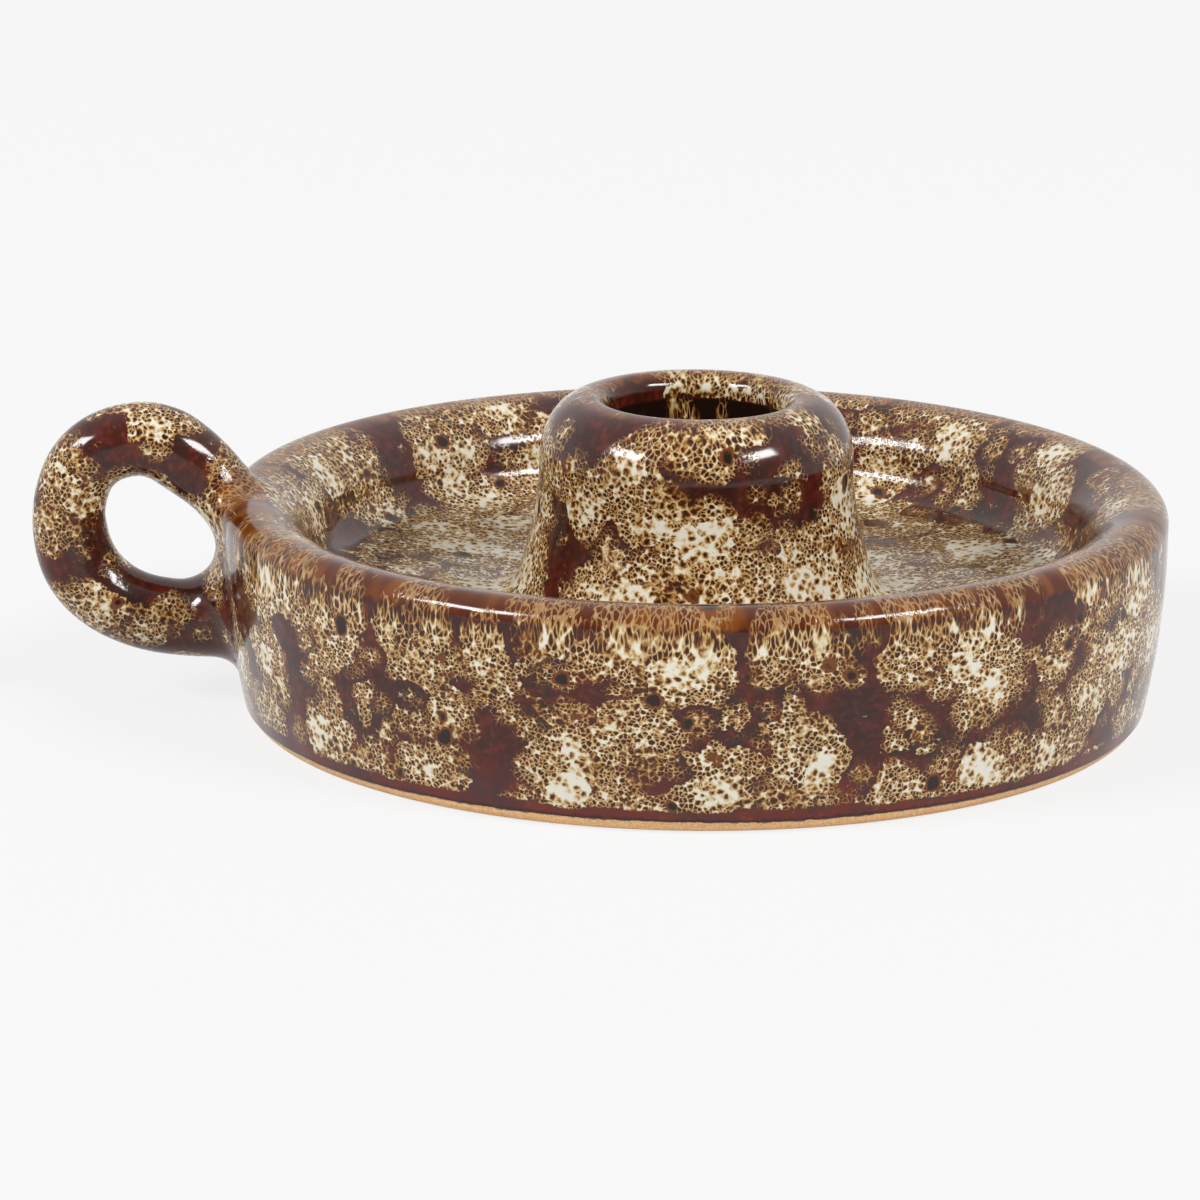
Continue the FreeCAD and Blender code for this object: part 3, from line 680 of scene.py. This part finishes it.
def makeGlaze():
    # reactive rutile glaze on stoneware, dipped and fired glossy: where it lies thick it floats up into cream
    # blotches that break into a foamy net over iron maroon, where it runs thin on edges it burns to rust, and it
    # ends in a burnt line above the dry foot
    material, tree = newMaterial("glossy reactive stoneware glaze")
    add = partial(addNode, tree)
    soft = {"interpolation_type": "SMOOTHSTEP"}
    marks = {name: add("Attribute", attribute_name=name) for name in ("pattern", "thin", "pool", "drip", "coat")}
    place = marks["pattern"].outputs["Vector"]
    thin, pool, drip, thicker = (marks[name].outputs["Fac"] for name in ("thin", "pool", "drip", "coat"))

    # places that stray: place + reach * (noise - 0.5)
    strayed = []
    for scale, detail, reach in glaze["stray"]:
        noise = add("TexNoise", {"Vector": place, "Scale": scale, "Detail": detail})
        offset = add("VectorMath", {0: noise.outputs["Color"], 1: (0.5, 0.5, 0.5)}, operation="SUBTRACT")
        strayed.append(add("VectorMath", {0: offset, 1: (reach,) * 3, 2: place}, operation="MULTIPLY_ADD"))
    far, middle, near = strayed
    ragged = add("TexNoise", {"Vector": place, "Scale": 1.0, "Detail": 3.0})
    patch = add("TexNoise", {"Vector": place, "Scale": 0.3, "Detail": 1.0})
    grain = add("TexNoise", {"Vector": place, "Scale": 3.5, "Detail": 2.0})

    # blotch: below 0 in the plain channels, about 0.8 in the thickest cream. It is cover - blotchFall * distance to
    # the nearest blotch - lobeFall * distance to the nearest lobe, and the first distance is taken mostly from the
    # lobe's middle, so that whole round lobes are in or out
    lobes = add("TexVoronoi", {"Vector": middle, "Scale": 1 / glaze["lobe"]}, feature="F1")
    held = add("Mix", {0: glaze["lobeHold"], 4: far, 5: lobes.outputs["Position"]}, data_type="VECTOR").outputs[1]
    spots = add("TexVoronoi", {"Vector": held, "Scale": 1 / glaze["blotch"], "Randomness": 0.9}, feature="F1")
    blotch = glaze["cover"]
    for cells, fall in ((spots, "blotchFall"), (lobes, "lobeFall")):
        blotch = add("Math", {0: cells.outputs["Distance"], 1: -glaze[fall], 2: blotch}, operation="MULTIPLY_ADD")
    roughEdge = add("MapRange", {"Value": ragged, "To Min": -0.16, "To Max": 0.16})
    for extra, weight in ((roughEdge, 1.0), (pool, glaze["onFloor"]), (thicker, glaze["onCoat"])):
        blotch = add("Math", {0: extra, 1: weight, 2: blotch}, operation="MULTIPLY_ADD")

    # small round blotches in the channels, each with an eye: ringTop - ringFall * distance from its middle
    rings = add("TexVoronoi", {"Vector": middle, "Scale": 1 / glaze["ring"]}, feature="F1")
    inside = {0: rings.outputs["Distance"], 1: -glaze["ringFall"], 2: glaze["ringTop"]}
    ringField = add("Math", inside, operation="MULTIPLY_ADD")
    blotch = add("Math", {0: blotch, 1: ringField, 2: 0.05}, operation="SMOOTH_MAX")
    nearFoot = add("MapRange", {"Value": drip, "From Min": 2.2, "From Max": 0.5, "To Max": 1.1}, **soft)
    blotch = add("Math", {0: blotch, 1: nearFoot}, operation="SUBTRACT")

    # thick: how thick the cream lies, which the edges wear to threads
    thick = add("Math", {0: thin, 1: -0.6, 2: blotch}, operation="MULTIPLY_ADD")

    # eyes: round dark breaks, at most one to a cell, larger or smaller by chance, and one in each small blotch
    eyes = add("TexVoronoi", {"Vector": middle, "Scale": 1 / glaze["eye"]}, feature="F1")
    chance = add("SeparateColor", {"Color": eyes.outputs["Color"]})
    eyeSize = add("MapRange", {"Value": chance.outputs["Red"], "From Min": 0.3, "From Max": 1.0, "To Max": 0.155})
    inEye = add("Math", {0: eyeSize, 1: eyes.outputs["Distance"]}, operation="SUBTRACT")
    inRing = add("Math", {0: 0.075, 1: rings.outputs["Distance"]}, operation="SUBTRACT")
    inEye = add("Math", {0: inEye, 1: inRing}, operation="MAXIMUM")
    roundEye = add("MapRange", {"Value": grain, "To Min": -0.02, "To Max": 0.02})
    inEye = add("Math", {0: inEye, 1: roundEye}, operation="ADD")
    eye = add("MapRange", {"Value": inEye, "From Min": -0.05, "From Max": -0.015}, **soft)
    eyeRim = add("MapRange", {"Value": inEye, "From Min": -0.085, "From Max": -0.055}, **soft)

    # net: depth into the cream is the greater of distance from a pore's middle less the pore's size, and line less
    # the distance to the cell's border; pores are large at a blotch's edge and small in its thick middle
    depths = []
    for size, least in glaze["net"]:
        pore = add("TexVoronoi", {"Vector": near, "Scale": 1 / size}, feature="F1")
        border = add("TexVoronoi", {"Vector": near, "Scale": 1 / size}, feature="DISTANCE_TO_EDGE")
        poreSize = add("MapRange", {"Value": thick, "From Min": 0.05, "From Max": 0.75,
                                    "To Min": glaze["widePore"], "To Max": least})
        outsidePore = add("Math", {0: pore.outputs["Distance"], 1: poreSize}, operation="SUBTRACT")
        onLine = add("Math", {0: glaze["line"], 1: border.outputs["Distance"]}, operation="SUBTRACT")
        depths.append(add("Math", {0: outsidePore, 1: onLine, 2: 0.12}, operation="SMOOTH_MAX"))
    coarse = add("MapRange", {"Value": patch, "From Min": 0.52, "From Max": 0.62, "To Max": 0.7}, **soft)
    dotted = add("MapRange", {"Value": thick, "From Min": 0.5, "From Max": 0.72, "To Max": 0.85}, **soft)
    which = add("Math", {0: coarse, 1: dotted}, operation="MAXIMUM")
    offEdge = add("MapRange", {"Value": thin, "From Min": 0.4, "From Max": 0.0}, **soft)
    which = add("Math", {0: which, 1: offEdge}, operation="MULTIPLY")
    depth = add("Mix", {0: which, 2: depths[0], 3: depths[1]}, data_type="FLOAT").outputs[0]
    grainShift = add("MapRange", {"Value": grain, "To Min": -0.10, "To Max": 0.10})
    core = add("MapRange", {"Value": thick, "From Min": 0.5, "From Max": 0.75, "To Max": 0.05}, **soft)
    fade = add("MapRange", {"Value": thick, "From Min": 0.22, "From Max": 0.0, "To Max": -0.08}, **soft)
    eyeCut = add("MapRange", {"Value": inEye, "From Min": -0.09, "From Max": -0.01, "To Max": -0.6}, **soft)
    for extra in (grainShift, core, fade, eyeCut):
        depth = add("Math", {0: depth, 1: extra}, operation="ADD")

    # iron ground: each colour is laid over the last by its share
    cloud = add("TexNoise", {"Vector": place, "Scale": 0.2, "Detail": 3.0})
    heat = add("TexNoise", {"Vector": far, "Scale": 0.12, "Detail": 3.0})
    mist = add("TexNoise", {"Vector": far, "Scale": 0.24, "Detail": 2.0})
    flecks = add("TexVoronoi", {"Vector": near, "Scale": 1 / glaze["fleck"]}, feature="F1")
    wander = add("MapRange", {"Value": ragged, "From Min": 0.3, "From Max": 0.7, "To Min": -0.2, "To Max": 0.2})
    edge = add("Math", {0: wander, 1: thin}, operation="ADD")
    plumShare = add("MapRange", {"Value": cloud, "From Min": 0.42, "From Max": 0.62}, **soft)
    emberShare = add("MapRange", {"Value": heat, "From Min": 0.56, "From Max": 0.68, "To Max": 0.6}, **soft)
    inFleck = flecks.outputs["Distance"]
    fleckShare = add("MapRange", {"Value": inFleck, "From Min": 0.2, "From Max": 0.08, "To Max": 0.6}, **soft)
    beside = add("MapRange", {"Value": blotch, "From Min": -0.38, "From Max": -0.06}, **soft)
    misty = add("MapRange", {"Value": mist, "From Min": 0.5, "From Max": 0.62, "To Max": 0.7}, **soft)
    slateShare = add("Math", {0: beside, 1: misty}, operation="MULTIPLY")
    slateShare = add("Math", {0: slateShare, 1: offEdge}, operation="MULTIPLY")
    rustShare = add("MapRange", {"Value": edge, "From Min": 0.2, "From Max": 0.75}, **soft)
    glowShare = add("MapRange", {"Value": patch, "From Min": 0.42, "From Max": 0.62}, **soft)
    rimColours = {6: linearColour(glaze["rim"]), 7: linearColour(glaze["rimGlow"])}
    glow = add("Mix", {0: glowShare, **rimColours}, data_type="RGBA")
    darkIn = add("MapRange", {"Value": edge, "From Min": -0.25, "From Max": 0.1}, **soft)
    darkOut = add("MapRange", {"Value": edge, "From Min": 0.62, "From Max": 0.25}, **soft)
    underRim = add("Math", {0: darkIn, 1: darkOut}, operation="MULTIPLY")
    offFoot = add("MapRange", {"Value": drip, "From Min": 3.0, "From Max": 8.0, "To Max": 0.7}, **soft)
    underRim = add("Math", {0: underRim, 1: offFoot}, operation="MULTIPLY")
    footWave = add("MapRange", {"Value": ragged, "From Min": 0.3, "From Max": 0.7, "To Min": -0.16, "To Max": 0.16})
    foot = add("Math", {0: drip, 1: footWave}, operation="ADD")
    burntShare = add("MapRange", {"Value": foot, "From Min": 0.7, "From Max": 0.25, "To Max": 0.9}, **soft)
    ground = linearColour(glaze["maroon"])
    for share, colour in ((plumShare, "plum"), (emberShare, "ember"), (fleckShare, "fleckRust"),
                          (slateShare, "slate"), (rustShare, glow.outputs[2]), (underRim, "pit"),
                          (burntShare, "burnt")):
        laid = linearColour(glaze[colour]) if isinstance(colour, str) else colour
        ground = add("Mix", {0: share, 6: ground, 7: laid}, data_type="RGBA").outputs[2]

    # the pores go from the ground's own colour at a blotch's edge to near black in the thick cream
    dark = add("MapRange", {"Value": thick, "From Min": -0.05, "From Max": 0.4, "To Max": 0.9}, **soft)
    eyeIn = add("MapRange", {"Value": blotch, "From Min": -0.02, "From Max": 0.12}, **soft)
    # painted shade: the glaze down in the bore is laid over with near black
    thinAndShadedBore = add("MapRange", {"Value": thicker, "From Min": -1.0, "From Max": -3.0}, **soft)
    eyeRim = add("Math", {0: eyeRim, 1: eyeIn}, operation="MULTIPLY")
    eye = add("Math", {0: eye, 1: eyeIn}, operation="MULTIPLY")
    for share, colour in ((dark, "pit"), (thinAndShadedBore, "eyeDark"), (eyeRim, "eyeRim"), (eye, "eyeDark")):
        ground = add("Mix", {0: share, 6: ground, 7: linearColour(glaze[colour])}, data_type="RGBA").outputs[2]

    # cream: a brown halo at its border, then tan, cream and ivory as it gets thicker
    tone = add("ValToRGB", {"Fac": add("MapRange", {"Value": depth, "From Min": -0.10, "From Max": 0.30})})
    while len(tone.color_ramp.elements) < len(toneStops):
        tone.color_ramp.elements.new(0.5)
    for element, (at, name) in zip(tone.color_ramp.elements, toneStops):
        element.position = at
        element.color = linearColour(glaze[name])
    threadShare = add("MapRange", {"Value": thin, "From Min": 0.2, "From Max": 0.9, "To Max": 0.7}, **soft)
    tone = add("Mix", {0: threadShare, 6: tone.outputs["Color"], 7: linearColour(glaze["thread"])}, data_type="RGBA")
    inNet = add("MapRange", {"Value": depth, "From Min": -0.11, "From Max": -0.01}, **soft)
    inBlotch = add("MapRange", {"Value": blotch, "From Min": -0.06, "From Max": 0.07}, **soft)
    worn = add("MapRange", {"Value": thin, "From Min": 0.3, "From Max": 1.0, "To Min": 1.0, "To Max": 0.7}, **soft)
    cover = add("Math", {0: inNet, 1: inBlotch}, operation="MULTIPLY")
    cover = add("Math", {0: cover, 1: worn}, operation="MULTIPLY")
    colour = add("Mix", {0: cover, 6: ground, 7: tone.outputs[2]}, data_type="RGBA").outputs[2]

    # below the glaze's end: dry clay, pale and sandy
    dry = add("MapRange", {"Value": foot, "From Min": 0.10, "From Max": -0.02}, **soft)
    sand = add("TexNoise", {"Vector": place, "Scale": 1 / clay["sand"], "Detail": 2.0})
    sandShare = add("MapRange", {"Value": sand, "From Min": 0.35, "From Max": 0.65})
    bare = add("Mix", {0: sandShare, 6: linearColour(clay["body"]), 7: linearColour(clay["pale"])}, data_type="RGBA")
    colour = add("Mix", {0: dry, 6: colour, 7: bare.outputs[2]}, data_type="RGBA").outputs[2]
    least, most = glaze["gloss"]
    gloss = add("MapRange", {"Value": grain, "From Min": 0.3, "From Max": 0.7, "To Min": least, "To Max": most})
    roughness = add("Mix", {0: dry, 2: gloss, 3: clay["underGlaze"]}, data_type="FLOAT").outputs[0]

    swell = add("TexNoise", {"Vector": place, "Scale": 0.12, "Detail": 1.0})
    height = add("Math", {0: swell, 1: 0.25}, operation="MULTIPLY")
    height = add("Math", {0: cover, 1: glaze["relief"], 2: height}, operation="MULTIPLY_ADD")
    bump = add("Bump", {"Strength": 1.0, "Distance": metre, "Height": height})
    finish = {"Base Color": colour, "Roughness": roughness, "IOR": glaze["refraction"], "Normal": bump}
    skin = add("BsdfPrincipled", finish)
    add("OutputMaterial", {"Surface": skin})
    return material


def makeClay():
    # bare stoneware, turned on the wheel and fired dry: matt warm tan, a sandy grain, iron specks and tool rings
    material, tree = newMaterial("bare turned stoneware")
    add = partial(addNode, tree)
    place = add("TexCoord").outputs["Object"]
    sand = add("TexNoise", {"Vector": place, "Scale": 1000 / clay["sand"], "Detail": 2.0})
    sandShare = add("MapRange", {"Value": sand, "From Min": 0.35, "From Max": 0.65})
    body = add("Mix", {0: sandShare, 6: linearColour(clay["body"]), 7: linearColour(clay["pale"])}, data_type="RGBA")
    specks = add("TexVoronoi", {"Vector": place, "Scale": 1000 / clay["iron"]}, feature="F1")
    speck = add("MapRange", {"Value": specks.outputs["Distance"], "From Min": 0.16, "From Max": 0.08})
    body = add("Mix", {0: speck, 6: body.outputs[2], 7: linearColour(clay["speck"])}, data_type="RGBA")
    # the wave texture's rings lie 2 pi / (20 * scale) apart, so scale is 2 pi / 20 / spacing
    ringScale = 2 * math.pi / 20 * 1000 / clay["toolMark"]
    rings = add("TexWave", {"Vector": place, "Scale": ringScale, "Distortion": 1.5, "Detail": 1.0},
                wave_type="RINGS", rings_direction="Z")
    height = add("Math", {0: rings, 1: clay["toolDepth"]}, operation="MULTIPLY")
    height = add("Math", {0: sand, 1: clay["sandDepth"], 2: height}, operation="MULTIPLY_ADD")
    bump = add("Bump", {"Strength": 1.0, "Distance": metre, "Height": height})
    finish = {"Base Color": body.outputs[2], "Roughness": clay["underneath"], "IOR": 1.45, "Normal": bump}
    skin = add("BsdfPrincipled", finish)
    add("OutputMaterial", {"Surface": skin})
    return material


glossyGlaze = makeGlaze()
bareClay = makeClay()
outline = dishOutline()
dishPiece = turnedPiece("glazedDish", outline, dish["turns"], False, dryFoot)
socketPiece = turnedPiece("glazedSocket", socketOutline(), socket["turns"], True)
loopPiece = makeLoop(outline)
for piece, node in ((dishPiece, "dish"), (socketPiece, "candle_socket"), (loopPiece, "finger_loop")):
    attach(piece, "root")
    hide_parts(node)
    piece.data.materials.append(glossyGlaze)
    print(piece.name, "made,", len(piece.data.polygons), "faces")


def bareTheUnderside(mesh):
    # clay instead of glaze on the flat ring and on everything inside it
    mesh.materials.append(bareClay)
    centre = np.empty(len(mesh.polygons) * 3)
    mesh.polygons.foreach_get("center", centre)
    x, y, z = centre.reshape(-1, 3).T / metre
    under = (z < dish["recessHeight"] + 0.1) & (np.hypot(x, y) < dish["footOuter"])
    mesh.polygons.foreach_set("material_index", under.astype(np.int32))


bareTheUnderside(dishPiece.data)
